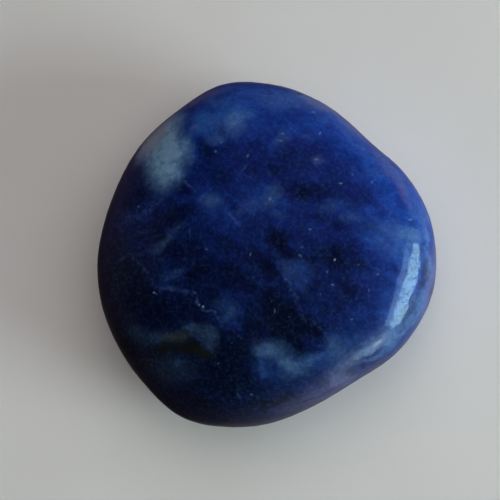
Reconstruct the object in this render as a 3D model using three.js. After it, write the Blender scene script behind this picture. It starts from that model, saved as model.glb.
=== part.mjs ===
// A tumbled sodalite stone, in millimetres. +Z points up through the broad upper face, and the stone
// rests on a small flat spot worn on its underside. The origin is at the bottom centre of its box.
//
// The form is star shaped: one reach from the middle of the stone in each direction. The reach blends a
// leaning wall, which follows the uneven rim, with the two broad faces, and is then cut by worn flats.
import * as THREE from "three";
import { ImprovedNoise } from "three/addons/math/ImprovedNoise.js";
import { mergeVertices } from "three/addons/utils/BufferGeometryUtils.js";

// The rim, counterclockwise from +X: azimuth in degrees, reach from the middle, and how far the wall
// leans in towards the top, in degrees. A negative lean is an undercut wall.
const rim = [
  { azimuth: 8, reach: 18.5, lean: -6 },
  { azimuth: 27, reach: 17.7, lean: -3 },
  { azimuth: 47, reach: 16.9, lean: 4 },
  { azimuth: 70, reach: 18.0, lean: 7 },
  { azimuth: 88, reach: 19.0, lean: 8 },
  { azimuth: 104, reach: 19.9, lean: 9 },
  { azimuth: 120, reach: 19.6, lean: 10 },
  { azimuth: 138, reach: 19.7, lean: 11 },
  { azimuth: 158, reach: 19.1, lean: 12 },
  { azimuth: 182, reach: 19.5, lean: 11 },
  { azimuth: 205, reach: 19.9, lean: 9 },
  { azimuth: 225, reach: 20.0, lean: 8 },
  { azimuth: 243, reach: 20.4, lean: 6 },
  { azimuth: 262, reach: 19.3, lean: 4 },
  { azimuth: 282, reach: 17.8, lean: 2 },
  { azimuth: 303, reach: 17.3, lean: -4 },
  { azimuth: 326, reach: 18.4, lean: -5 },
  { azimuth: 349, reach: 18.7, lean: 3 },
];

// The two broad faces: which way each one looks, in degrees, and its reach from the middle.
const upperFace = { azimuth: -60, elevation: 87.5, reach: 7.3 };
const lowerFace = { azimuth: 60, elevation: -89.5, reach: 7.5 };
const shoulderPower = 2.8; // 2 would make an elliptical shoulder, and more makes a squarer one

// Broad flats that the tumbling wore on the shoulders: which way each looks, and its reach.
const wornFlats = [
  { azimuth: -17, elevation: 30, reach: 17.1 },
  { azimuth: 140, elevation: 42, reach: 15.3 },
  { azimuth: 75, elevation: 52, reach: 13.7 },
  { azimuth: -115, elevation: 48, reach: 14.8 },
  { azimuth: 60, elevation: -40, reach: 15.4 },
  { azimuth: -50, elevation: -34, reach: 16.5 },
  { azimuth: 175, elevation: -46, reach: 15.2 },
  { azimuth: -120, elevation: -58, reach: 13.6 },
];
const flatBlend = 1.6; // a worn flat eases into its neighbours over this difference in reach

// Low swells left in the skin: the distance from one to the next, and their height.
const swells = [
  { spacing: 12, height: 0.24 },
  { spacing: 5, height: 0.07 },
];

const restDepth = 7.46; // the flat spot lies this far below the middle
const restBlend = 0.2; // height over which the flat spot eases into the underside
const cellsPerSide = 27; // grid cells along each side of the six patches that cover the stone
const meanRim = 19; // used only to space the grid evenly over the flattened form
const meanHalfHeight = 8;

const noise = new ImprovedNoise();

function direction({ azimuth, elevation }) {
  const aroundZ = THREE.MathUtils.degToRad(azimuth);
  const up = THREE.MathUtils.degToRad(elevation);
  return new THREE.Vector3(
    Math.cos(up) * Math.cos(aroundZ),
    Math.cos(up) * Math.sin(aroundZ),
    Math.sin(up),
  );
}

// The rim at any azimuth: a smooth closed curve through its points.
function rimAt(azimuth) {
  const count = rim.length;
  let index = rim.findLastIndex((point) => point.azimuth <= azimuth);
  if (index < 0) index = count - 1;
  const stretch = [-1, 0, 1, 2].map((step) => {
    const wrapped = (index + step + count) % count;
    const turns = Math.round((azimuth - rim[wrapped].azimuth) / 360);
    return { ...rim[wrapped], azimuth: rim[wrapped].azimuth + 360 * turns };
  });
  const [before, start, end, after] = stretch;
  const span = end.azimuth - start.azimuth;
  const t = (azimuth - start.azimuth) / span;
  const blend = (key) => {
    const startSlope = ((end[key] - before[key]) / (end.azimuth - before.azimuth)) * span;
    const endSlope = ((after[key] - start[key]) / (after.azimuth - start.azimuth)) * span;
    return (
      (2 * t ** 3 - 3 * t ** 2 + 1) * start[key] +
      (t ** 3 - 2 * t ** 2 + t) * startSlope +
      (3 * t ** 2 - 2 * t ** 3) * end[key] +
      (t ** 3 - t ** 2) * endSlope
    );
  };
  return { reach: blend("reach"), lean: THREE.MathUtils.degToRad(blend("lean")) };
}

// How far the surface lies from the middle in a unit direction.
function reachAlong(ray) {
  const azimuth = THREE.MathUtils.radToDeg(Math.atan2(ray.y, ray.x));
  const { reach, lean } = rimAt(THREE.MathUtils.euclideanModulo(azimuth, 360));
  const level = Math.hypot(ray.x, ray.y);
  const wall = Math.max(0, level + ray.z * Math.tan(lean)) / reach;
  const face = Math.max(
    0,
    ...[upperFace, lowerFace].map((plane) => ray.dot(direction(plane)) / plane.reach),
  );
  const body = (wall ** shoulderPower + face ** shoulderPower) ** (-1 / shoulderPower);
  return wornFlats.reduce((least, flat) => {
    const facing = ray.dot(direction(flat));
    return facing > 0 ? easedMinimum(least, flat.reach / facing, flatBlend) : least;
  }, body);
}

// The smaller of two reaches, rounded off where they differ by less than the blend.
function easedMinimum(first, second, blend) {
  const near = Math.max(0, blend - Math.abs(first - second));
  return Math.min(first, second) - near ** 2 / (4 * blend);
}

function swellAt(point) {
  return swells.reduce((total, { spacing, height }) => {
    const place = point.clone().divideScalar(spacing);
    return total + height * noise.noise(place.x, place.y, place.z);
  }, 0);
}

// The underside wears flat where it would reach below the resting plane, and eases into the flat.
function restingHeight(height) {
  const above = height + restDepth;
  if (above <= 0) return -restDepth;
  if (above < restBlend) return -restDepth + above ** 2 / (2 * restBlend);
  return height - restBlend / 2;
}

function stoneGeometry() {
  const grid = new THREE.BoxGeometry(2, 2, 2, cellsPerSide, cellsPerSide, cellsPerSide);
  grid.deleteAttribute("normal");
  grid.deleteAttribute("uv");
  const geometry = mergeVertices(grid);
  const places = geometry.getAttribute("position");
  const even = (value) => Math.tan((value * Math.PI) / 4);
  const point = new THREE.Vector3();
  for (let i = 0; i < places.count; i++) {
    point.fromBufferAttribute(places, i);
    const ray = new THREE.Vector3(
      even(point.x) * meanRim,
      even(point.y) * meanRim,
      even(point.z) * meanHalfHeight,
    ).normalize();
    point.copy(ray).multiplyScalar(reachAlong(ray));
    point.addScaledVector(ray, swellAt(point));
    point.z = restingHeight(point.z);
    places.setXYZ(i, point.x, point.y, point.z);
  }
  geometry.computeBoundingBox();
  const box = geometry.boundingBox;
  const middle = box.getCenter(new THREE.Vector3());
  geometry.translate(-middle.x, -middle.y, -box.min.z);
  geometry.computeVertexNormals();
  return geometry;
}

const polishedSodalite = new THREE.MeshStandardMaterial({
  color: 0x1b3478,
  roughness: 0.25,
  metalness: 0,
});

const stone = new THREE.Mesh(stoneGeometry(), polishedSodalite);
stone.name = "sodalite_stone";

const part = new THREE.Group();
part.add(stone);

export default part;
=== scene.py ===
import math

import bmesh
import bpy
from mathutils import Matrix, Vector
from mathutils.bvhtree import BVHTree


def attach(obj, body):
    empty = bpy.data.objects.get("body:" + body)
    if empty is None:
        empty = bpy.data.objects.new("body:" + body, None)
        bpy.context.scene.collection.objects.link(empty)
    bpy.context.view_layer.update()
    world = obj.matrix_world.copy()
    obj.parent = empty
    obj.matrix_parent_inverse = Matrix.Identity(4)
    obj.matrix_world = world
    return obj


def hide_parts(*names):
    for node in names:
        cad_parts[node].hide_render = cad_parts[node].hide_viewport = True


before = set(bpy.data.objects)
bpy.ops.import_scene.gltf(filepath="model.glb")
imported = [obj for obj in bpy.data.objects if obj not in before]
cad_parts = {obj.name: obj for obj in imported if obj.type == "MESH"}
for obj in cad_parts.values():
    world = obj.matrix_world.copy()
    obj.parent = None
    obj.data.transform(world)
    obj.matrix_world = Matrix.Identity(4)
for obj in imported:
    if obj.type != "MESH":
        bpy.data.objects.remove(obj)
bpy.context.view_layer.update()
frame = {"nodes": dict(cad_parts)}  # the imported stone, in metres, resting on z = 0
mm = 0.001
scene = bpy.context.scene
scene.view_settings.view_transform = "Standard"
print("frame loaded:", ", ".join(frame["nodes"]))

camera = {
    "middle": (0, 0, 7.5),  # mm, a point in the stone that the view turns about
    "distance": 165,  # mm
    "azimuth": -30,  # degrees, the side that the camera leans to
    "tilt": 14,  # degrees off straight down
    "aside": (-1.36, 0.16),  # mm to the right and up, from the middle to the point aimed at
    "lens": 106.9,  # mm
    "sensor": 36,  # mm
    "nearest": 0.01,  # metres, and nothing closer is drawn
}


def heading(azimuth, elevation):
    around = math.radians(azimuth)
    rise = math.radians(elevation)
    return Vector((math.cos(rise) * math.cos(around), math.cos(rise) * math.sin(around), math.sin(rise)))


def addCamera():
    back = heading(camera["azimuth"], 90 - camera["tilt"])
    right = Vector((0, 1, 0)).cross(back).normalized()
    up = back.cross(right)
    aim = Vector(camera["middle"]) + right * camera["aside"][0] + up * camera["aside"][1]
    turn = Matrix((right, up, back)).transposed().to_4x4()
    data = bpy.data.cameras.new("camera")
    data.lens = camera["lens"]
    data.sensor_width = camera["sensor"]
    data.clip_start = camera["nearest"]
    holder = bpy.data.objects.new("camera", data)
    holder.matrix_world = Matrix.Translation((aim + back * camera["distance"]) * mm) @ turn
    scene.collection.objects.link(holder)
    scene.camera = holder


# Where each softbox stands seen from the stone, how far it is rolled over, its width and height in
# degrees, how brightly it lights the stone and the floor, and how brightly the polish mirrors it. One
# without a shape is a rectangle.
softboxes = {
    "window": {
        "azimuth": -19, "elevation": 14, "roll": 0, "width": 25, "height": 27,
        "lights": 14.0, "mirrored": 0.0, "tint": "#dcf0f2",
    },
    "window pane": {
        "azimuth": -17, "elevation": 11, "roll": 17, "width": 26, "height": 33,
        "lights": 0.0, "mirrored": 15.0, "tint": "#b2eaf6", "shape": "ELLIPSE",
    },
    "window frame": {
        "azimuth": -22, "elevation": 30, "roll": 17, "width": 24, "height": 10,
        "lights": 0.0, "mirrored": 8.0, "tint": "#9ccaf0",
    },
    "window return": {
        "azimuth": -53, "elevation": 16, "roll": 0, "width": 26, "height": 11,
        "lights": 4.0, "mirrored": 24.0, "tint": "#d4e4fa",
    },
    "high fill": {
        "azimuth": 55, "elevation": 44, "roll": 0, "width": 80, "height": 40,
        "lights": 0.6, "mirrored": 0.0, "tint": "#e2ebff",
    },
    "overhead diffuser": {
        "azimuth": 35, "elevation": 68, "roll": 0, "width": 70, "height": 60,
        "lights": 0.9, "mirrored": 0.0, "tint": "#fff6ee",
    },
}
lightDistance = 0.5  # metres

room = {
    "litSide": -10,  # degrees, azimuth of the brighter half of the room
    "lit": "#a9adb8",
    "far": "#3c2e2e",
    "turning": {"From Min": -0.5, "From Max": 0.8},  # cosines off the lit side, from all far to all lit
    "ceiling": "#0e0f14",
    "ceilingFrom": 0.5,  # sine of the elevation where the room has become the dim ceiling
}

card = {
    "halfSize": 2.0,  # metres
    "mottle": {"Scale": 60.0, "Detail": 4.0},  # patches of about 17 mm
    "tones": ("#eeebe6", "#f6f4f1"),
    "roughness": 0.9,
    "specular": 0.1,
}


def linear(hexColour, alpha=1.0):
    parts = [int(hexColour[i : i + 2], 16) / 255 for i in (1, 3, 5)]
    return [p / 12.92 if p <= 0.04045 else ((p + 0.055) / 1.055) ** 2.4 for p in parts] + [alpha]


def addNode(tree, kind, settings=None, inputs=None):
    # one node with its settings; an input that is a socket is linked, and any other is set
    node = tree.nodes.new("ShaderNode" + kind)
    for name, value in (settings or {}).items():
        setattr(node, name, value)
    for name, value in (inputs or {}).items():
        if isinstance(value, bpy.types.NodeSocket):
            tree.links.new(value, node.inputs[name])
        else:
            node.inputs[name].default_value = value
    return node


def addSoftbox(name, box, use):
    towards = heading(box["azimuth"], box["elevation"])
    data = bpy.data.lights.new(name, "AREA")
    data.shape = box.get("shape", "RECTANGLE")
    data.size = 2 * lightDistance * math.tan(math.radians(box["width"] / 2))
    data.size_y = 2 * lightDistance * math.tan(math.radians(box["height"] / 2))
    data.energy = box[use] * math.pi * data.size * data.size_y
    data.color = linear(box["tint"])[:3]
    lamp = bpy.data.objects.new(name, data)
    facing = towards.to_track_quat("Z", "Y").to_matrix().to_4x4()
    roll = Matrix.Rotation(math.radians(box["roll"]), 4, "Z")
    lamp.matrix_world = Matrix.Translation(towards * lightDistance) @ facing @ roll
    lamp.visible_camera = False
    lamp.visible_diffuse = use == "lights"
    lamp.visible_glossy = use == "mirrored"
    scene.collection.objects.link(lamp)


def addSoftboxes():
    for name, box in softboxes.items():
        for use in ("lights", "mirrored"):
            if box[use]:
                addSoftbox(f"{name} {use}", box, use)


def addRoom():
    # pale low down on the window's side, dim on the other, and dark overhead so that the top stays deep
    world = bpy.data.worlds.new("room")
    scene.world = world
    world.use_nodes = True
    tree = world.node_tree
    tree.nodes.clear()
    way = addNode(tree, "TexCoord").outputs["Generated"]
    facing = {0: way, 1: heading(room["litSide"], 0)}
    side = addNode(tree, "VectorMath", {"operation": "DOT_PRODUCT"}, facing).outputs["Value"]
    height = addNode(tree, "SeparateXYZ", inputs={"Vector": way}).outputs["Z"]
    settings = {"Value": side, **room["turning"]}
    share = addNode(tree, "MapRange", {"interpolation_type": "SMOOTHSTEP"}, settings).outputs[0]
    settings = {0: share, 6: linear(room["far"]), 7: linear(room["lit"])}
    walls = addNode(tree, "Mix", {"data_type": "RGBA"}, settings).outputs[2]
    settings = {"Value": height, "From Max": room["ceilingFrom"]}
    climb = addNode(tree, "MapRange", {"interpolation_type": "SMOOTHSTEP"}, settings).outputs[0]
    shade = addNode(tree, "Mix", {"data_type": "RGBA"}, {0: climb, 6: walls, 7: linear(room["ceiling"])})
    glow = addNode(tree, "Background", inputs={"Color": shade.outputs[2]})
    addNode(tree, "OutputWorld", inputs={"Surface": glow.outputs[0]})


def matteCard():
    # matte card: an even pale tone with a faint mottle that stops it looking like a flat fill
    material = bpy.data.materials.new("matte card")
    material.use_nodes = True
    tree = material.node_tree
    tree.nodes.clear()
    place = addNode(tree, "TexCoord").outputs["Object"]
    mottle = addNode(tree, "TexNoise", inputs={"Vector": place, **card["mottle"]}).outputs[0]
    dim, pale = map(linear, card["tones"])
    tone = addNode(tree, "Mix", {"data_type": "RGBA"}, {0: mottle, 6: dim, 7: pale}).outputs[2]
    settings = {"Base Color": tone, "Roughness": card["roughness"], "Specular IOR Level": card["specular"]}
    surface = addNode(tree, "BsdfPrincipled", inputs=settings)
    addNode(tree, "OutputMaterial", inputs={"Surface": surface.outputs[0]})
    return material


def addFloor():
    form = bmesh.new()
    bmesh.ops.create_grid(form, x_segments=1, y_segments=1, size=card["halfSize"])
    mesh = bpy.data.meshes.new("floor")
    form.to_mesh(mesh)
    form.free()
    floor = bpy.data.objects.new("floor", mesh)
    floor.visible_glossy = False  # the polish mirrors the dimmer room instead, which keeps the rims deep
    scene.collection.objects.link(floor)
    mesh.materials.append(matteCard())


addCamera()
addSoftboxes()
addRoom()
addFloor()
print("camera, lights and floor ready")

stone = {
    "node": "sodalite_stone",
    "slot": "sodalite",
    "mergeWithin": 0.002,  # mm
    "levels": 2,  # of Subdivision Surface
    # shallow relief left in the polish, each sunk below the solid's skin: size and depth in mm
    "orangePeel": {"size": 1.7, "depth": 0.05},
    "dimples": {"size": 0.9, "depth": 0.035},
}


def stoneMesh():
    form = bmesh.new()
    form.from_mesh(frame["nodes"][stone["node"]].data)
    bmesh.ops.remove_doubles(form, verts=form.verts, dist=stone["mergeWithin"] * mm)
    bmesh.ops.join_triangles(
        form, faces=form.faces, angle_face_threshold=math.pi, angle_shape_threshold=math.pi
    )
    mesh = bpy.data.meshes.new("tumbled_sodalite")
    form.to_mesh(mesh)
    skin = BVHTree.FromBMesh(form)
    form.free()
    if mesh.has_custom_normals:
        mesh.attributes.remove(mesh.attributes["custom_normal"])
    mesh.shade_smooth()
    return mesh, skin


def addRelief(piece, name, relief):
    texture = bpy.data.textures.new(name, "CLOUDS")
    texture.noise_scale = relief["size"] * mm
    sink = piece.modifiers.new(name, "DISPLACE")
    sink.texture = texture
    sink.texture_coords = "LOCAL"
    sink.direction = "NORMAL"
    sink.mid_level = 1.0  # so that relief only goes inwards
    sink.strength = relief["depth"] * mm


# Every pattern is worked out in mm, so a noise's scale is 1 / its size in mm. The swirls carry each point
# aside before a part's marks are laid down, so that edges wander as they do where crystals grew.
swirls = {"Scale": 1 / 2.4, "Detail": 6.0, "Roughness": 0.66}

# A mark is a soft lump centred on the upper skin, as deep into the stone as it is long and a bit more.
lump = {
    "above": 30,  # mm, a height clear of the stone
    "deeper": 1,  # mm
}

# The blue itself, from deep navy at the lower left to royal blue at the right and the top: partly the
# stone's own colour and partly painted shade, darker away from the light on the right. A mark is
# (x, y, half length, half width, turn in degrees, amount), in mm on the upper side, here and below.
blue = {
    "shades": ["#02092a", "#051347", "#0a2167", "#163888", "#2652a0", "#3c6cb4"],
    "tone": 0.31,  # at the middle of the stone: 0 is the first shade, and 1 the last
    # the slope is partly painted shade, darker towards the lower left, away from the light
    "slope": (0.014, 0.011, 0.0),  # change of tone per mm
    "streaks": {"turn": -40, "stretch": 1.5},  # the mottling is drawn out along this direction
    "mottles": [  # a broad one and a fine one, each with its share of the tone
        {"noise": {"Scale": 1 / 3.4, "Detail": 8.0, "Roughness": 0.62, "Distortion": 0.4}, "amount": 0.11},
        {"noise": {"Scale": 1 / 1.0, "Detail": 5.0, "Roughness": 0.62, "Distortion": 0.4}, "amount": 0.11},
    ],
    "span": {"From Min": 0.38, "From Max": 0.64},  # this part of the mottles' noise is stretched out
    "drift": 2.6,  # how strongly the swirls carry the marks' edges aside
    "edge": 0.75,  # how wide the soft edge is for the size of the mark
    "marks": [
        # deep spots
        (6.6, 0.4, 6.0, 4.6, -20, -0.09),
        (5.6, 8.4, 3.0, 2.0, 0, -0.03),
        (4.0, -10.0, 2.2, 1.0, 0, -0.05),
        (-13.6, -2.8, 1.8, 1.4, -20, -0.12),
        (-13.0, -5.8, 2.4, 1.2, -10, -0.08),
        (13.6, 5.0, 2.2, 1.6, 0, -0.05),
        (4.6, -8.2, 3.6, 2.4, -30, -0.1),
        (10.4, -2.6, 3.6, 2.2, -60, -0.05),
        (-2.4, -5.6, 4.0, 2.0, -30, -0.06),
        (-2.2, -10.6, 3.0, 2.4, 0, -0.06),
        (3.1, 0.5, 1.3, 0.9, -15, -0.3),
        (4.6, -1.1, 1.4, 0.5, -30, -0.2),
        (2.1, -2.8, 1.0, 0.8, 60, -0.16),
        (-2.2, -3.1, 1.2, 0.9, 60, -0.2),
        (-4.6, -2.2, 1.3, 0.9, 0, -0.16),
        (-0.6, -4.3, 1.5, 0.8, 0, -0.2),
        (1.0, -1.6, 1.8, 0.7, -40, -0.12),
        (-6.2, -3.3, 0.7, 0.6, 0, -0.12),
        (-7.0, -1.1, 1.6, 0.7, 0, -0.1),
        (-9.6, 1.7, 1.0, 0.8, 80, -0.14),
        (-8.0, 3.4, 2.1, 1.0, 15, -0.18),
        (-11.7, 2.5, 0.9, 0.35, 5, -0.14),
        (-12.8, 5.3, 1.8, 0.8, 20, -0.1),
        (-7.6, 6.2, 1.5, 0.5, -8, -0.2),
        (-6.0, 8.9, 0.9, 0.6, 50, -0.12),
        (-4.9, 10.6, 1.7, 0.8, -54, -0.2),
        (0.4, 9.0, 4.8, 2.2, -5, -0.08),
        (1.3, 7.5, 1.4, 0.9, 0, -0.12),
        (5.3, 5.6, 1.3, 0.9, -20, -0.24),
        (7.6, 5.2, 1.9, 1.0, 10, -0.18),
        (9.9, 6.3, 2.4, 1.6, 0, -0.12),
        (7.0, 9.0, 3.4, 2.4, 0, -0.14),
        (11.7, 4.7, 1.5, 0.8, -15, -0.14),
        (7.8, 2.6, 1.0, 0.6, 0, -0.12),
        (9.6, 1.7, 1.1, 0.8, 0, -0.12),
        (9.2, -1.6, 2.1, 1.2, -10, -0.22),
        (6.6, -1.9, 0.5, 0.5, 0, -0.16),
        (12.2, -2.2, 1.0, 0.7, 0, -0.12),
        (14.6, -2.5, 0.9, 0.6, 0, -0.12),
        (10.5, -5.0, 1.6, 1.2, 80, -0.14),
        (6.7, -4.7, 0.9, 0.6, 0, -0.1),
        (2.6, -6.6, 1.8, 1.4, -50, -0.22),
        (4.0, -8.6, 2.3, 1.3, 0, -0.2),
        (6.6, -9.1, 1.2, 0.9, -40, -0.2),
        (0.2, -9.4, 1.1, 0.8, 0, -0.12),
        (8.9, -7.4, 1.0, 0.8, 0, -0.12),
        (5.4, -11.0, 0.9, 0.5, 90, -0.14),
        (-7.4, -6.5, 2.8, 1.2, -5, -0.1),
        (-2.2, -11.4, 1.9, 1.5, 80, -0.16),
        (-4.9, -12.8, 1.6, 0.8, 0, -0.08),
        (-2.4, -14.6, 2.4, 1.0, 0, -0.12),
        (0.8, -17.0, 1.6, 0.6, 0, -0.12),
        # painted shade: a dark line just outside the streak on the right shoulder, for the dark gap the
        # polish mirrors there
        (16.5, -7.5, 2.4, 0.28, 65, -0.22),
        (18.2, -2.9, 0.9, 0.35, 80, -0.3),
        (18.0, -4.5, 0.35, 0.3, 0, -0.3),
        # royal blue areas
        (1.5, 16.4, 4.4, 1.5, -5, 0.16),
        (-4.4, 15.0, 2.8, 1.5, 0, 0.2),
        (-2.0, 13.4, 3.4, 1.8, 0, 0.14),
        (-6.2, 13.0, 1.6, 1.6, 0, 0.27),
        (-6.2, 9.6, 0.9, 1.8, 0, 0.16),
        (-10.6, 5.0, 2.6, 1.6, 20, 0.08),
        (-10.2, 1.2, 2.4, 1.6, 0, 0.04),
        (-7.4, 16.6, 2.4, 0.8, 25, 0.1),
        (-5.2, 7.2, 1.6, 0.9, -30, 0.08),
        (-2.4, 4.4, 4.6, 1.6, -5, 0.12),
        (-1.2, 1.6, 3.2, 1.0, -30, 0.1),
        (-2.2, -6.9, 2.0, 1.5, 75, 0.2),
        (-1.6, -9.0, 1.1, 0.8, -45, 0.1),
        (15.6, 3.0, 2.6, 2.2, 0, 0.03),
        (14.8, -5.2, 3.8, 1.1, 75, 0.08),
        (14.6, 0.2, 2.2, 1.4, 0, 0.06),
        (1.6, -13.3, 1.6, 1.2, 0, 0.28),
        (7.0, -12.6, 1.4, 1.1, 0, 0.22),
        (4.6, -14.9, 3.0, 0.9, 10, 0.16),
        (-8.3, -13.4, 2.0, 1.4, 0, 0.08),
        (-8.4, -3.4, 1.9, 1.1, 20, 0.1),
        (5.0, -3.2, 1.9, 1.1, -50, 0.12),
        (-13.2, 3.2, 2.2, 1.3, 15, 0.12),
        (-12.6, 0.2, 1.8, 1.0, 0, 0.06),
    ],
}

# How far the blue leans to violet in some patches and to teal in others, and how it turns from inky at
# the lower left to royal at the upper right, partly its own colour and partly painted shade away from the
# light on the right: each is what red, green and blue are multiplied by.
cast = {
    "patches": {"Scale": 1 / 2.6, "Detail": 4.0, "Roughness": 0.6, "Distortion": 0.5},
    "span": {"From Min": 0.36, "From Max": 0.64},
    "teal": (0.76, 1.05, 0.98),
    "violet": (1.14, 0.95, 1.0),
    # this turn is partly painted shade: duller and darker away from the light on the right
    "towards": (0.4, 0.92, 0.0),
    "stretch": {"From Min": -14, "From Max": 10},  # mm along that way, from all ink to all royal
    "ink": (1.3, 0.95, 0.58),
    "royal": (0.76, 1.0, 1.16),
}

# Hair-fine grain boundaries, a little lighter than the blue: the coarse net and the fine one between.
crackle = {
    "nets": [  # sizes in mm
        {"size": 2.3, "halfWidth": 0.15, "drift": 2.2, "amount": 0.1},
        {"size": 0.9, "halfWidth": 0.1, "drift": 0.9, "amount": 0.06},
    ],
    # where they show, and haven't healed
    "places": {"Scale": 1 / 2.2, "Detail": 3.0, "Roughness": 0.6},
    "span": {"From Min": 0.42, "From Max": 0.6},
}

# Wisps: thin drawn-out lines, all of about one width, that run along one level of a noise and come and go.
wisps = {
    "noise": {"Scale": 1 / 3.0, "Detail": 5.0, "Roughness": 0.55, "Distortion": 0.8},
    "level": 0.5,
    "thinness": 0.03,
    "amount": 0.08,
    "places": {"Scale": 1 / 1.6, "Detail": 2.0, "Roughness": 0.6},
    "span": {"From Min": 0.4, "From Max": 0.62},
}

# Pale clouds, thin ones bluer than thick ones; some marks along the right wall and the lower-right rim are
# painted reflection and painted highlight instead.
cloudsAndReflections = {
    "thin": "#4674ae",
    "thick": "#7aa3c4",
    "drift": 2.3,
    "edge": 0.75,
    # the clouds' own mottling, and how much of a cloud it takes away
    "mottle": {"Scale": 1 / 0.8, "Detail": 5.0, "Roughness": 0.62, "Distortion": 0.3},
    "span": {"From Min": 0.35, "From Max": 0.65},
    "ragged": 0.24,
    "marks": [
        # the big pale patch at the upper left and the haze about it
        (-9.4, 9.3, 2.6, 2.0, 80, 0.95),
        (-8.7, 11.6, 1.6, 1.2, 100, 0.34),
        (-10.4, 12.6, 2.4, 1.7, 55, 0.62),
        (-9.2, 14.4, 1.5, 1.0, 40, 0.4),
        (-12.4, 12.0, 1.8, 1.3, 55, 0.46),
        (-12.0, 9.4, 1.6, 1.0, 80, 0.24),
        (-6.9, 10.9, 1.5, 0.7, 100, 0.26),
        # along the top
        (-6.5, 13.0, 0.5, 0.35, 0, 0.26),
        (-1.6, 13.6, 1.6, 1.0, 85, 0.32),
        (-0.2, 14.2, 0.8, 0.6, 20, 0.2),
        (-4.2, 13.6, 2.4, 1.4, 0, 0.18),
        (-3.7, 11.6, 1.0, 0.6, 0, 0.2),
        (-4.2, 16.0, 1.6, 0.5, -18, 0.14),
        (3.4, 15.8, 2.2, 1.1, -8, 0.16),
        (0.6, 16.6, 4.4, 1.1, 0, 0.07),
        (6.4, 14.9, 1.4, 0.5, -35, 0.1),
        (6.2, 16.3, 2.4, 0.5, -28, 0.28),
        (10.4, 12.8, 1.8, 0.5, -45, 0.1),
        (3.6, 11.5, 0.8, 0.6, 60, 0.16),
        (6.2, 11.6, 0.7, 0.35, 0, 0.08),
        (7.3, 9.0, 0.6, 0.4, 10, 0.14),
        # across the middle
        (2.6, 5.0, 1.3, 0.8, 55, 0.2),
        (0.2, 4.3, 1.1, 0.6, -15, 0.1),
        (-0.8, 3.4, 0.9, 0.5, 0, 0.12),
        (3.2, 3.1, 0.9, 0.35, 0, 0.1),
        (-4.1, 4.6, 1.2, 0.8, 0, 0.22),
        (8.8, 3.8, 1.4, 0.6, 12, 0.1),
        (10.8, 2.6, 1.0, 0.5, 0, 0.12),
        (4.7, -3.4, 2.1, 0.6, -58, 0.08),
        (5.4, -2.8, 1.6, 0.9, -20, 0.06),
        (-2.1, -7.1, 1.1, 0.6, 60, 0.12),
        (-2.9, -6.2, 1.0, 0.7, 0, 0.08),
        (-8.4, -3.2, 1.4, 0.6, 25, 0.06),
        (-8.2, -12.7, 0.6, 0.4, 40, 0.14),
        # at the right
        (13.4, 7.5, 1.0, 0.5, 0, 0.12),
        (15.2, 7.8, 0.9, 0.4, -50, 0.1),
        (15.2, 1.4, 2.6, 0.8, -8, 0.17),
        # partly a painted highlight at the top end of the streak
        (16.8, 0.9, 1.3, 0.8, 0, 0.25),
        (17.4, 3.6, 1.4, 0.5, 95, 0.14),
        (15.4, -0.8, 1.6, 0.9, -25, 0.14),
        (13.6, 0.3, 1.0, 0.5, 0, 0.08),
        # painted reflection: pale bands of the surroundings mirrored along the right wall and its lower
        # end
        (18.4, -1.2, 2.2, 0.4, 88, 0.32),
        (18.8, -2.6, 1.4, 0.3, 88, 0.3),
        (18.3, 2.0, 1.4, 0.4, 96, 0.26),
        (17.6, -6.3, 2.2, 0.6, 72, 0.36),
        (15.0, -9.9, 1.8, 0.5, 55, 0.36),
        (16.3, -9.0, 1.5, 0.3, 58, 0.24),
        # the clouds at the lower right
        (8.9, -11.0, 1.3, 1.1, 70, 0.24),
        (11.0, -10.2, 1.2, 0.6, 40, 0.1),
        (1.4, -11.4, 1.1, 0.7, 0, 0.2),
        (2.9, -11.6, 1.8, 1.1, -12, 0.22),
        (4.7, -13.2, 1.6, 0.9, 20, 0.26),
        (3.7, -12.5, 1.2, 0.7, -40, 0.12),
        (6.6, -12.0, 1.0, 0.4, 5, 0.2),
        (1.1, -13.2, 0.9, 0.5, 90, 0.08),
        (9.8, -12.6, 1.6, 0.9, 35, 0.13),
        (9.2, -14.2, 1.6, 0.6, 30, 0.14),
        # about the second highlight: partly cloud and partly painted highlight, then painted dark and pale
        # bands of reflection along the rim
        (12.6, -11.2, 2.2, 1.0, 42, 0.32),
        (13.1, -10.6, 1.5, 0.3, 36, 0.05),
        (12.6, -11.7, 1.5, 0.16, 25, -0.26),
        (13.0, -11.9, 1.0, 0.18, 28, 0.14),
        (12.3, -12.6, 1.3, 0.3, 14, -0.16),
    ],
}
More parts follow.
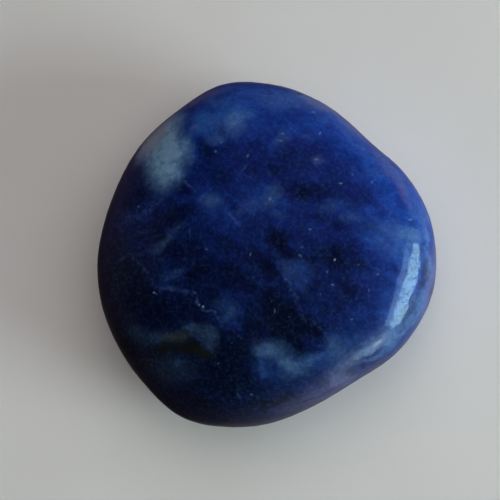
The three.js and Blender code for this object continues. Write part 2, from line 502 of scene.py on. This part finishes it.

# Other minerals that tint small areas, and a painted reflection of pale surroundings along the rims: the
# colour, how far its grains break it up, and its marks.
tints = {
    "grey rind": {
        "colour": "#9498ae", "drift": 2.0, "edge": 0.8, "broken": 0.2,
        "marks": [(-11.8, 13.1, 2.6, 1.5, 50, 0.82), (-13.2, 10.8, 1.2, 0.7, 70, 0.1)],
    },
    # painted reflection: a lavender sheen of pale surroundings on the rims and the right wall, with one
    # darker painted gap
    "lavender rim reflection": {
        "colour": "#6c6c94", "drift": 1.6, "edge": 0.8, "broken": 0.2,
        "marks": [
            (4.8, -16.7, 2.6, 0.5, 22, 0.2),
            (7.8, -15.4, 2.2, 0.8, 24, 0.22),
            (6.4, -16.1, 2.4, 0.1, 20, -0.2),
            (9.3, -14.4, 1.3, 0.6, 30, 0.36),
            (12.2, -13.0, 1.8, 0.3, 32, 0.14),
            (18.6, -4.4, 4.6, 0.5, 80, 0.35),
            (6.8, 16.0, 2.4, 0.6, -30, 0.42),
            (10.2, 13.2, 2.0, 0.4, -45, 0.25),
            (14.3, 8.5, 2.4, 0.5, -55, 0.22),
            (16.2, 5.6, 1.8, 0.4, -70, 0.25),
            (-6.4, 16.9, 2.6, 0.6, 15, 0.46),
            (-15.6, 1.5, 8.0, 1.8, 88, 0.07),
            (-12.5, 1.0, 6.0, 3.0, 80, 0.04),
            (-13.6, -8.6, 3.4, 1.0, 118, 0.05),
        ],
    },
    "teal haze": {
        "colour": "#48668c", "drift": 2.2, "edge": 0.8, "broken": 0.3,
        "marks": [
            (-9.9, 0.2, 1.2, 0.6, 20, 0.24),
            (-8.5, 1.3, 1.3, 0.5, 50, 0.09),
            (-5.6, -9.1, 1.5, 0.6, -15, 0.22),
            (-6.8, -8.8, 0.8, 0.25, 15, 0.25),
            (-4.6, -10.2, 1.1, 0.7, 55, 0.26),
            (-12.2, -9.5, 2.2, 0.9, -15, 0.14),
            (-9.6, -9.8, 1.6, 0.7, 0, 0.15),
            (2.2, -10.6, 1.4, 0.5, 0, 0.15),
            (-9.0, -13.2, 2.6, 1.4, 0, 0.12),
        ],
    },
    "ochre bloom": {
        "colour": "#464c3e", "drift": 2.0, "edge": 0.8, "broken": 0.3,
        "marks": [(-8.2, -9.8, 1.5, 0.5, 5, 0.38), (-10.0, -12.6, 3.0, 1.6, -20, 0.08)],
    },
    "olive pyroxene": {
        "colour": "#181a13", "drift": 2.0, "edge": 0.9, "broken": 0.5,
        "marks": [
            (-8.0, -10.8, 1.8, 0.6, 0, 0.75),
            (-6.2, -11.3, 1.2, 0.4, -15, 0.7),
            (-10.1, -11.0, 1.2, 0.4, 15, 0.5),
            (-4.9, -11.5, 0.8, 0.4, 0, 0.5),
            (10.2, -13.4, 0.6, 0.25, 35, 0.5),
            (4.8, 17.1, 0.35, 0.16, -25, 0.7),
            (18.7, -4.9, 0.7, 0.2, 70, 0.5),
            (18.1, -2.7, 1.0, 0.25, 84, 0.4),
            (17.8, -4.2, 0.35, 0.25, 60, 0.55),
        ],
    },
}

# Fine healed cracks, each a line of points on the upper side, with a half width and a strength.
veins = {
    "colour": "#5676ba",
    "drift": 2.0,
    "edge": 0.95,
    "broken": 0.9,
    "lines": [
        {
            "points": [(-13.4, -0.9), (-12.4, -1.9), (-11.5, -2.9), (-10.6, -4.1)],
            "halfWidth": 0.2, "strength": 0.06,
        },
        {
            "points": [(-10.6, -4.1), (-9.4, -4.5), (-8.2, -4.8), (-6.2, -5.2)],
            "halfWidth": 0.17, "strength": 0.1,
        },
        {
            "points": [(-6.2, -5.2), (-5.6, -6.1), (-4.9, -7.0), (-3.9, -7.2), (-3.2, -8.0)],
            "halfWidth": 0.12, "strength": 0.17,
        },
        {"points": [(-15.0, -1.4), (-13.4, -0.8), (-11.4, -0.6)], "halfWidth": 0.18, "strength": 0.06},
        {"points": [(-14.2, 3.1), (-12.0, 3.9), (-10.2, 4.7)], "halfWidth": 0.4, "strength": 0.1},
        {"points": [(-9.0, 0.8), (-8.3, 1.6), (-7.5, 2.2)], "halfWidth": 0.25, "strength": 0.08},
        {"points": [(-6.65, 0.2), (-6.6, 1.9)], "halfWidth": 0.05, "strength": 0.3},
        {"points": [(-7.1, 7.0), (-6.5, 6.7), (-5.9, 6.1)], "halfWidth": 0.1, "strength": 0.2},
        {"points": [(-6.4, -2.0), (-5.6, -1.5), (-4.8, -1.1)], "halfWidth": 0.13, "strength": 0.07},
        {"points": [(-9.0, -3.7), (-8.0, -3.0), (-7.0, -2.6)], "halfWidth": 0.3, "strength": 0.06},
        {"points": [(3.0, -2.3), (4.1, -3.9), (4.8, -5.5)], "halfWidth": 0.14, "strength": 0.1},
        {
            "points": [(4.8, -5.5), (5.7, -7.8), (6.9, -8.8), (8.1, -10.0)],
            "halfWidth": 0.15, "strength": 0.05,
        },
        {"points": [(-3.2, -8.6), (-1.9, -9.4), (-0.9, -10.2)], "halfWidth": 0.12, "strength": 0.07},
        {"points": [(-1.2, -14.8), (-1.6, -15.6), (-1.4, -16.5)], "halfWidth": 0.16, "strength": 0.06},
        {"points": [(-2.2, 3.2), (-1.5, 2.3), (-0.7, 1.5)], "halfWidth": 0.18, "strength": 0.14},
        {"points": [(-5.9, -9.9), (-5.3, -10.3)], "halfWidth": 0.1, "strength": 0.14},
        {"points": [(-13.2, 1.2), (-11.2, 2.0)], "halfWidth": 0.2, "strength": 0.06},
        {"points": [(-12.6, 6.6), (-10.8, 5.6)], "halfWidth": 0.16, "strength": 0.06},
        {"points": [(8.9, -6.9), (9.7, -7.7), (9.5, -8.9)], "halfWidth": 0.14, "strength": 0.06},
    ],
}

# Single pale grains that catch the light; the first is partly a painted highlight.
flecks = {
    "colour": "#9fbcdc",
    "drift": 0.6,
    "edge": 0.7,
    "marks": [
        # partly a painted highlight: a bright grain where the second highlight falls
        (13.2, -10.6, 0.5, 0.16, 38, 0.3),
        (-9.6, 13.3, 0.2, 0.14, 0, 0.25),
        (-9.6, 12.4, 0.2, 0.1, -50, 0.25),
        (-8.9, 11.6, 0.28, 0.2, 0, 0.2),
        (-9.4, 9.7, 0.18, 0.1, -30, 0.25),
        (-9.0, 8.4, 0.14, 0.12, 0, 0.25),
        (-3.7, 10.2, 0.11, 0.11, 0, 0.3),
        (-3.2, 11.2, 0.14, 0.1, 0, 0.16),
        (-0.15, 9.5, 0.15, 0.12, 80, 0.2),
        (-0.4, 8.2, 0.4, 0.1, 60, 0.08),
        (2.35, 4.75, 0.15, 0.15, 0, 0.25),
        (7.2, 9.0, 0.24, 0.12, 10, 0.2),
        (7.45, 12.0, 0.18, 0.09, 85, 0.24),
        (3.6, 11.9, 0.14, 0.12, 0, 0.16),
        (3.4, 11.1, 0.24, 0.1, -20, 0.14),
        (1.15, 16.7, 0.15, 0.1, 0, 0.14),
        (6.5, 14.6, 0.12, 0.1, 0, 0.16),
        (9.8, 6.3, 0.17, 0.08, 8, 0.3),
        (11.0, 7.25, 0.14, 0.08, 90, 0.16),
        (13.0, 6.4, 0.16, 0.08, 90, 0.16),
        (12.0, 10.4, 0.08, 0.08, 0, 0.18),
        (16.95, 2.5, 0.2, 0.1, 5, 0.25),
        (6.55, 1.4, 0.12, 0.11, 0, 0.2),
        (-12.6, 4.6, 0.14, 0.1, 90, 0.22),
        (0.25, -1.1, 0.15, 0.08, 80, 0.22),
        (-4.6, -0.5, 0.14, 0.11, 0, 0.16),
        (5.5, -1.4, 0.2, 0.12, -30, 0.14),
        (5.7, -0.5, 0.15, 0.11, 0, 0.1),
        (9.15, -1.85, 0.12, 0.1, 60, 0.65),
        (8.35, -3.25, 0.12, 0.08, 80, 0.2),
        (8.9, -4.5, 0.14, 0.1, 0, 0.22),
        (12.6, -5.1, 0.15, 0.06, 90, 0.16),
        (11.6, -2.4, 0.12, 0.1, 0, 0.1),
        (13.6, -3.4, 0.12, 0.11, 0, 0.14),
        (7.6, -5.5, 0.1, 0.1, 0, 0.12),
        (10.8, -8.2, 0.12, 0.11, 0, 0.12),
        (2.7, -7.1, 0.2, 0.05, 85, 0.24),
        (-3.65, -12.6, 0.14, 0.12, 0, 0.1),
        (-5.05, -6.6, 0.1, 0.1, 0, 0.8),
        (-5.5, -6.4, 0.11, 0.1, 0, 0.3),
        (-10.7, -4.95, 0.13, 0.1, 10, 0.45),
        (-10.4, -5.1, 0.1, 0.08, 0, 0.2),
        (-0.2, -15.9, 0.18, 0.14, 0, 0.12),
    ],
}

# Finer grains of the same kind, over the whole stone: one in each cell, and most of them dull.
dust = {
    "size": 0.6,  # mm
    "halfWidth": 0.1,
    "bright": {"From Min": 0.45, "From Max": 0.85, "To Max": 0.12},
}

# What the marks leave bare, the walls and the underside, has clouds of its own.
wild = {
    "height": {"From Min": 9.0, "From Max": 5.5},  # mm above the floor, from none to all of them
    "noise": {"Scale": 1 / 6.5, "Detail": 7.0, "Roughness": 0.6, "Distortion": 0.5},
    "span": {"From Min": 0.5, "From Max": 0.72, "To Max": 0.45},
}

# Fine grains over everything: how pale they turn the colour, how they break up what is laid over it,
# how far they darken and brighten it, and how rough they leave the polish.
grains = {
    "noise": {"Scale": 1 / 0.42, "Detail": 3.0, "Roughness": 0.75},
    "pale": {"From Min": 0.48, "From Max": 0.72, "To Max": 0.1},
    "broken": {"From Min": 0.35, "From Max": 0.65},
    "glint": {"From Min": 0.36, "From Max": 0.72, "To Min": 0.9, "To Max": 1.1},
    "roughness": {"From Min": 0.3, "From Max": 0.7, "To Min": 0.31, "To Max": 0.35},
}

polish = {
    "ior": 1.483,  # sodalite
    "specular": 0.15,
    "coat": 0.35,
    "coatRoughness": 0.07,
    "ripple": {"Scale": 1 / 0.35, "Detail": 3.0, "Roughness": 0.7},
    "rippleDepth": 0.003,  # mm
}

# Pits where grains broke out of the skin: a patch along the steep shoulder, and its fainter end.
pits = {
    "noise": {"Scale": 1 / 0.4, "Detail": 2.0, "Roughness": 0.6},
    "span": {"From Min": 0.38, "From Max": 0.44},
    "depth": 0.04,  # mm
    "drift": 2.0,
    "edge": 0.8,
    "marks": [(17.0, -2.4, 2.8, 0.9, 80, 1.0), (16.2, -6.2, 2.4, 0.7, 70, 0.4)],
}


def layDown(tree, skin, place, sway, part):
    # carries the places aside and then adds up the part's marks
    settings = {"Vector": sway, "Scale": (part["drift"],) * 3, "Location": place}
    carried = addNode(tree, "Mapping", inputs=settings).outputs[0]
    total = None
    edge = part["edge"]
    spread = 1 + edge
    for x, y, halfLength, halfWidth, turn, amount in part["marks"]:
        hit = skin.ray_cast(Vector((x, y, lump["above"])) * mm, Vector((0, 0, -1)))[0]
        settings = {
            "Vector": carried,
            "Location": (x, y, hit.z / mm),
            "Rotation": (0, 0, math.radians(turn)),
            "Scale": Vector((halfLength, halfWidth, halfLength + lump["deeper"])) * spread,
        }
        inside = addNode(tree, "Mapping", {"vector_type": "TEXTURE"}, settings).outputs[0]
        sphere = addNode(tree, "TexGradient", {"gradient_type": "SPHERICAL"}, {"Vector": inside})
        settings = {"Value": sphere.outputs["Fac"], "From Max": 2 * edge / spread, "To Max": amount}
        # a smooth step stays in its range by itself, and the shader has no room for hundreds of clamps
        curve = {"interpolation_type": "SMOOTHSTEP", "clamp": False}
        share = addNode(tree, "MapRange", curve, settings).outputs[0]
        if total:
            share = addNode(tree, "Math", {"operation": "ADD"}, {0: total, 1: share}).outputs[0]
        total = share
    return total


def marksAlong(line):
    # turns a vein's points into a chain of slim marks that overlap at their ends
    marks = []
    for (startX, startY), (endX, endY) in zip(line["points"], line["points"][1:]):
        length = math.hypot(endX - startX, endY - startY)
        turn = math.degrees(math.atan2(endY - startY, endX - startX))
        middle = ((startX + endX) / 2, (startY + endY) / 2)
        marks.append((*middle, length / 2 + line["halfWidth"], line["halfWidth"], turn, line["strength"]))
    return marks


def blueTone(tree, skin, place, sway, streaked):
    # how far along its shades the blue is: a slope over the stone, its mottling and its marks
    middle = blue["tone"] - sum(mottle["amount"] for mottle in blue["mottles"]) / 2
    settings = {0: place, 1: blue["slope"]}
    slope = addNode(tree, "VectorMath", {"operation": "DOT_PRODUCT"}, settings).outputs["Value"]
    tone = addNode(tree, "Math", {"operation": "ADD"}, {0: slope, 1: middle}).outputs[0]
    for mottle in blue["mottles"]:
        noise = addNode(tree, "TexNoise", inputs={"Vector": streaked, **mottle["noise"]}).outputs[0]
        settings = {"Value": noise, **blue["span"]}
        share = addNode(tree, "MapRange", {"interpolation_type": "SMOOTHSTEP"}, settings).outputs[0]
        settings = {0: share, 1: mottle["amount"], 2: tone}
        tone = addNode(tree, "Math", {"operation": "MULTIPLY_ADD"}, settings).outputs[0]
    laid = layDown(tree, skin, place, sway, blue)
    return addNode(tree, "Math", {"operation": "ADD"}, {0: tone, 1: laid}).outputs[0]


def withBoundaries(tree, place, sway, tone):
    noise = addNode(tree, "TexNoise", inputs={"Vector": place, **crackle["places"]}).outputs[0]
    showing = addNode(tree, "MapRange", inputs={"Value": noise, **crackle["span"]}).outputs[0]
    for net in crackle["nets"]:
        settings = {"Vector": sway, "Scale": (net["drift"],) * 3, "Location": place}
        carried = addNode(tree, "Mapping", inputs=settings).outputs[0]
        settings = {"Vector": carried, "Scale": 1 / net["size"]}
        cells = addNode(tree, "TexVoronoi", {"feature": "DISTANCE_TO_EDGE"}, settings).outputs["Distance"]
        settings = {
            "Value": cells,
            "From Min": net["halfWidth"] / net["size"],
            "From Max": 0.0,
            "To Max": net["amount"],
        }
        boundary = addNode(tree, "MapRange", inputs=settings).outputs[0]
        settings = {0: boundary, 1: showing, 2: tone}
        tone = addNode(tree, "Math", {"operation": "MULTIPLY_ADD"}, settings).outputs[0]
    return tone


def withWisps(tree, place, streaked, tone):
    noise = addNode(tree, "TexNoise", inputs={"Vector": streaked, **wisps["noise"]}).outputs[0]
    off = addNode(tree, "Math", {"operation": "SUBTRACT"}, {0: noise, 1: wisps["level"]}).outputs[0]
    off = addNode(tree, "Math", {"operation": "ABSOLUTE"}, {0: off}).outputs[0]
    settings = {"Value": off, "From Min": wisps["thinness"], "From Max": 0.0, "To Max": wisps["amount"]}
    line = addNode(tree, "MapRange", {"interpolation_type": "SMOOTHSTEP"}, settings).outputs[0]
    noise = addNode(tree, "TexNoise", inputs={"Vector": place, **wisps["places"]}).outputs[0]
    showing = addNode(tree, "MapRange", inputs={"Value": noise, **wisps["span"]}).outputs[0]
    settings = {0: line, 1: showing, 2: tone}
    return addNode(tree, "Math", {"operation": "MULTIPLY_ADD"}, settings).outputs[0]


def shadedBlue(tree, place, tone):
    # turns the tone to a shade of blue, and then leans it two ways
    ramp = addNode(tree, "ValToRGB", inputs={0: tone})
    stops = ramp.color_ramp.elements
    last = len(blue["shades"]) - 1
    while len(stops) <= last:
        stops.new(0.5)
    for index, shade in enumerate(blue["shades"]):
        stops[index].position = index / last
        stops[index].color = linear(shade)
    colour = ramp.outputs[0]
    noise = addNode(tree, "TexNoise", inputs={"Vector": place, **cast["patches"]}).outputs[0]
    patchy = addNode(tree, "MapRange", inputs={"Value": noise, **cast["span"]}).outputs[0]
    settings = {0: place, 1: cast["towards"]}
    side = addNode(tree, "VectorMath", {"operation": "DOT_PRODUCT"}, settings).outputs["Value"]
    across = addNode(tree, "MapRange", inputs={"Value": side, **cast["stretch"]}).outputs[0]
    for share, start, end in ((patchy, "teal", "violet"), (across, "ink", "royal")):
        settings = {"Factor": share, 4: cast[start], 5: cast[end]}
        lean = addNode(tree, "Mix", {"data_type": "VECTOR"}, settings).outputs[1]
        colour = addNode(tree, "VectorMath", {"operation": "MULTIPLY"}, {0: colour, 1: lean}).outputs[0]
    return colour


def cloudDensity(tree, skin, place, sway, grain):
    # the clouds and painted reflections placed on the upper side and the wild clouds below, torn and with
    # pale grains between
    noise = addNode(tree, "TexNoise", inputs={"Vector": place, **cloudsAndReflections["mottle"]}).outputs[0]
    ragged = cloudsAndReflections["ragged"]
    settings = {"Value": noise, **cloudsAndReflections["span"], "To Min": 1 - ragged, "To Max": 1 + ragged}
    torn = addNode(tree, "MapRange", inputs=settings).outputs[0]
    placed = layDown(tree, skin, place, sway, cloudsAndReflections)
    noise = addNode(tree, "TexNoise", inputs={"Vector": place, **wild["noise"]}).outputs[0]
    settings = {"Value": noise, **wild["span"]}
    drifting = addNode(tree, "MapRange", {"interpolation_type": "SMOOTHSTEP"}, settings).outputs[0]
    height = addNode(tree, "SeparateXYZ", inputs={"Vector": place}).outputs["Z"]
    below = addNode(tree, "MapRange", inputs={"Value": height, **wild["height"]}).outputs[0]
    settings = {0: drifting, 1: below, 2: placed}
    density = addNode(tree, "Math", {"operation": "MULTIPLY_ADD"}, settings).outputs[0]
    pale = addNode(tree, "MapRange", inputs={"Value": grain, **grains["pale"]}).outputs[0]
    settings = {0: density, 1: torn, 2: pale}
    return addNode(tree, "Math", {"operation": "MULTIPLY_ADD", "use_clamp": True}, settings).outputs[0]


def clouded(tree, density, colour):
    settings = {0: density, 6: linear(cloudsAndReflections["thin"]), 7: linear(cloudsAndReflections["thick"])}
    cloud = addNode(tree, "Mix", {"data_type": "RGBA"}, settings).outputs[2]
    return addNode(tree, "Mix", {"data_type": "RGBA"}, {0: density, 6: colour, 7: cloud}).outputs[2]


def tinted(tree, grain, cover, part, colour):
    # lays a tint or the veins over the colour, broken up by the grains
    broken = part["broken"]
    settings = {"Value": grain, **grains["broken"], "To Min": 1 - broken, "To Max": 1 + broken}
    gaps = addNode(tree, "MapRange", inputs=settings).outputs[0]
    settings = {"operation": "MULTIPLY", "use_clamp": True}
    share = addNode(tree, "Math", settings, {0: cover, 1: gaps}).outputs[0]
    settings = {0: share, 6: colour, 7: linear(part["colour"])}
    return addNode(tree, "Mix", {"data_type": "RGBA"}, settings).outputs[2]


def flecked(tree, place, cover, colour):
    cells = addNode(tree, "TexVoronoi", inputs={"Vector": place, "Scale": 1 / dust["size"]}).outputs
    settings = {
        "Value": cells["Distance"],
        "From Min": dust["halfWidth"] / dust["size"],
        "From Max": 0.0,
    }
    speck = addNode(tree, "MapRange", inputs=settings).outputs[0]
    bright = addNode(tree, "MapRange", inputs={"Value": cells["Color"], **dust["bright"]}).outputs[0]
    settings = {0: speck, 1: bright, 2: cover}
    share = addNode(tree, "Math", {"operation": "MULTIPLY_ADD"}, settings).outputs[0]
    settings = {0: share, 6: colour, 7: linear(flecks["colour"])}
    return addNode(tree, "Mix", {"data_type": "RGBA"}, settings).outputs[2]


def rippled(tree, place):
    height = addNode(tree, "TexNoise", inputs={"Vector": place, **polish["ripple"]}).outputs[0]
    settings = {"Height": height, "Distance": polish["rippleDepth"] * mm}
    return addNode(tree, "Bump", inputs=settings).outputs[0]


def pitted(tree, skin, place, sway, ripple):
    noise = addNode(tree, "TexNoise", inputs={"Vector": place, **pits["noise"]}).outputs[0]
    settings = {"Value": noise, **pits["span"]}
    height = addNode(tree, "MapRange", {"interpolation_type": "SMOOTHSTEP"}, settings).outputs[0]
    settings = {
        "Height": height,
        "Distance": pits["depth"] * mm,
        "Strength": layDown(tree, skin, place, sway, pits),
        "Normal": ripple,
    }
    return addNode(tree, "Bump", inputs=settings).outputs[0]


def tumbledSodalite(skin):
    # tumbled sodalite: polished to a soft gloss over grainy blue with pale cloudy inclusions
    material = bpy.data.materials.new("tumbled sodalite")
    material.use_nodes = True
    tree = material.node_tree
    tree.nodes.clear()
    metres = addNode(tree, "TexCoord").outputs["Object"]
    place = addNode(tree, "Mapping", inputs={"Vector": metres, "Scale": (1 / mm,) * 3}).outputs[0]
    settings = {
        "Vector": place,
        "Rotation": (0, 0, math.radians(blue["streaks"]["turn"])),
        "Scale": (blue["streaks"]["stretch"], 1, 1),
    }
    streaked = addNode(tree, "Mapping", {"vector_type": "TEXTURE"}, settings).outputs[0]
    swirl = addNode(tree, "TexNoise", inputs={"Vector": place, **swirls}).outputs["Color"]
    # a noise is about 0.5 on average, and without that it carries points as far one way as the other
    sway = addNode(tree, "Mapping", inputs={"Vector": swirl, "Location": (-0.5,) * 3}).outputs[0]
    grain = addNode(tree, "TexNoise", inputs={"Vector": place, **grains["noise"]}).outputs[0]

    tone = blueTone(tree, skin, place, sway, streaked)
    tone = withBoundaries(tree, place, sway, tone)
    tone = withWisps(tree, place, streaked, tone)
    colour = shadedBlue(tree, place, tone)
    density = cloudDensity(tree, skin, place, sway, grain)
    colour = clouded(tree, density, colour)
    veinMarks = sum(map(marksAlong, veins["lines"]), [])
    for part in [*tints.values(), {**veins, "marks": veinMarks}]:
        cover = layDown(tree, skin, place, sway, part)
        colour = tinted(tree, grain, cover, part, colour)
    cover = layDown(tree, skin, place, sway, flecks)
    colour = flecked(tree, place, cover, colour)
    glint = addNode(tree, "MapRange", inputs={"Value": grain, **grains["glint"]}).outputs[0]
    colour = addNode(tree, "VectorMath", {"operation": "SCALE"}, {0: colour, "Scale": glint}).outputs[0]

    ripple = rippled(tree, place)
    settings = {
        "Base Color": colour,
        "Roughness": addNode(tree, "MapRange", inputs={"Value": grain, **grains["roughness"]}).outputs[0],
        "IOR": polish["ior"],
        "Specular IOR Level": polish["specular"],
        "Coat Weight": polish["coat"],
        "Coat Roughness": polish["coatRoughness"],
        "Normal": ripple,
        "Coat Normal": pitted(tree, skin, place, sway, ripple),  # the pits are in the outermost skin alone
    }
    surface = addNode(tree, "BsdfPrincipled", inputs=settings)
    addNode(tree, "OutputMaterial", inputs={"Surface": surface.outputs[0]})
    return material


def addStone():
    mesh, skin = stoneMesh()
    piece = bpy.data.objects.new("tumbled_sodalite", mesh)
    scene.collection.objects.link(piece)
    smooth = piece.modifiers.new("smooth", "SUBSURF")
    smooth.levels = stone["levels"]
    smooth.render_levels = stone["levels"]
    addRelief(piece, "orange peel", stone["orangePeel"])
    addRelief(piece, "dimples", stone["dimples"])
    mesh.materials.append(tumbledSodalite(skin))
    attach(piece, "root")
    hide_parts(stone["node"])


addStone()
print("stone ready")
